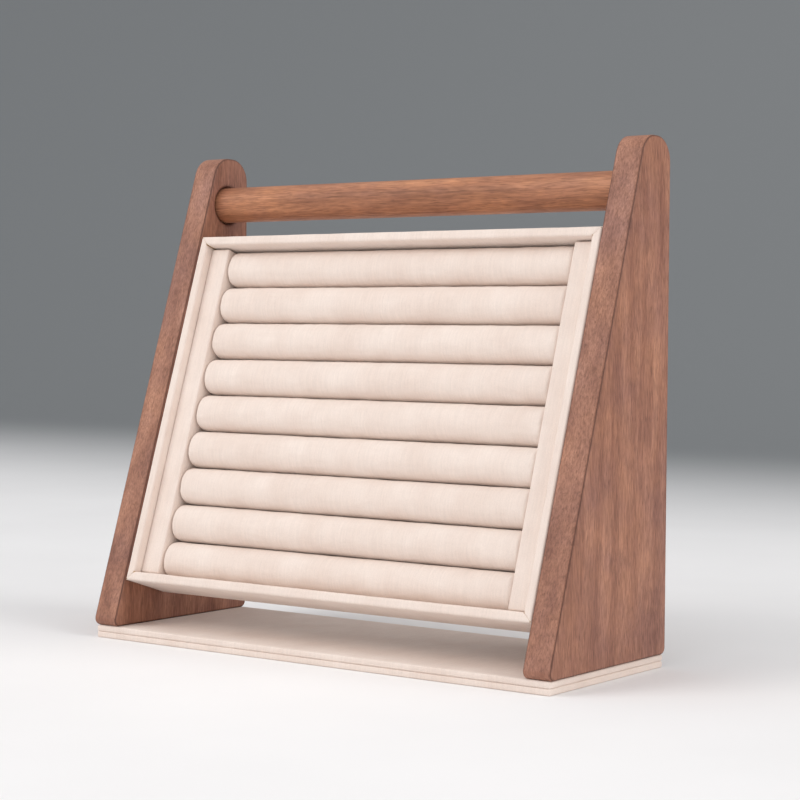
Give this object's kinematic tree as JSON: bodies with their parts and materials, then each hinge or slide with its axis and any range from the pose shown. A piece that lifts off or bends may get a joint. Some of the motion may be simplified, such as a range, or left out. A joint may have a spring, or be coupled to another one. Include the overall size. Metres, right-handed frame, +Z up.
{
  "type": "ring display stand",
  "caption": "Sloping wooden ring display stand: two side panels, a round carrying handle, a cloth-covered base and a cloth-lined tray of padded ring rolls.",
  "frame": {"origin": "centre of the base's underside, on the table", "axes": "+X to the right along the handle, +Y to the back, +Z up"},
  "size_m": [0.28, 0.103, 0.2534],
  "materials": {
    "walnut_panel": "walnut stain, satin",
    "handle_wood": "walnut stain, satin",
    "fibreboard": "bare fibreboard",
    "cream_microfibre": "short nap, matt",
    "foam": "open-cell foam",
    "screw_steel": "zinc plated"
  },
  "bodies": {
    "root": {"left_side_panel": "walnut_panel", "right_side_panel": "walnut_panel", "handle_dowel": "handle_wood", "base_upper_board": "fibreboard", "base_upper_cloth": "cream_microfibre", "base_lower_board": "fibreboard", "base_lower_cloth": "cream_microfibre", "base_screws": "screw_steel", "tray_back_board": "fibreboard", "tray_back_cloth": "cream_microfibre", "tray_screws": "screw_steel", "tray_bottom_wall": "fibreboard", "tray_right_wall": "fibreboard", "tray_top_wall": "fibreboard", "tray_left_wall": "fibreboard", "tray_bottom_wall_cloth": "cream_microfibre", "tray_right_wall_cloth": "cream_microfibre", "tray_top_wall_cloth": "cream_microfibre", "tray_left_wall_cloth": "cream_microfibre", "left_spacer_strip": "fibreboard", "right_spacer_strip": "fibreboard", "left_spacer_cloth": "cream_microfibre", "right_spacer_cloth": "cream_microfibre", "ring_roll_1_foam": "foam", "ring_roll_2_foam": "foam", "ring_roll_3_foam": "foam", "ring_roll_4_foam": "foam", "ring_roll_5_foam": "foam", "ring_roll_6_foam": "foam", "ring_roll_7_foam": "foam", "ring_roll_8_foam": "foam", "ring_roll_9_foam": "foam", "ring_roll_1_sleeve": "cream_microfibre", "ring_roll_2_sleeve": "cream_microfibre", "ring_roll_3_sleeve": "cream_microfibre", "ring_roll_4_sleeve": "cream_microfibre", "ring_roll_5_sleeve": "cream_microfibre", "ring_roll_6_sleeve": "cream_microfibre", "ring_roll_7_sleeve": "cream_microfibre", "ring_roll_8_sleeve": "cream_microfibre", "ring_roll_9_sleeve": "cream_microfibre"}
  },
  "joints": []
}
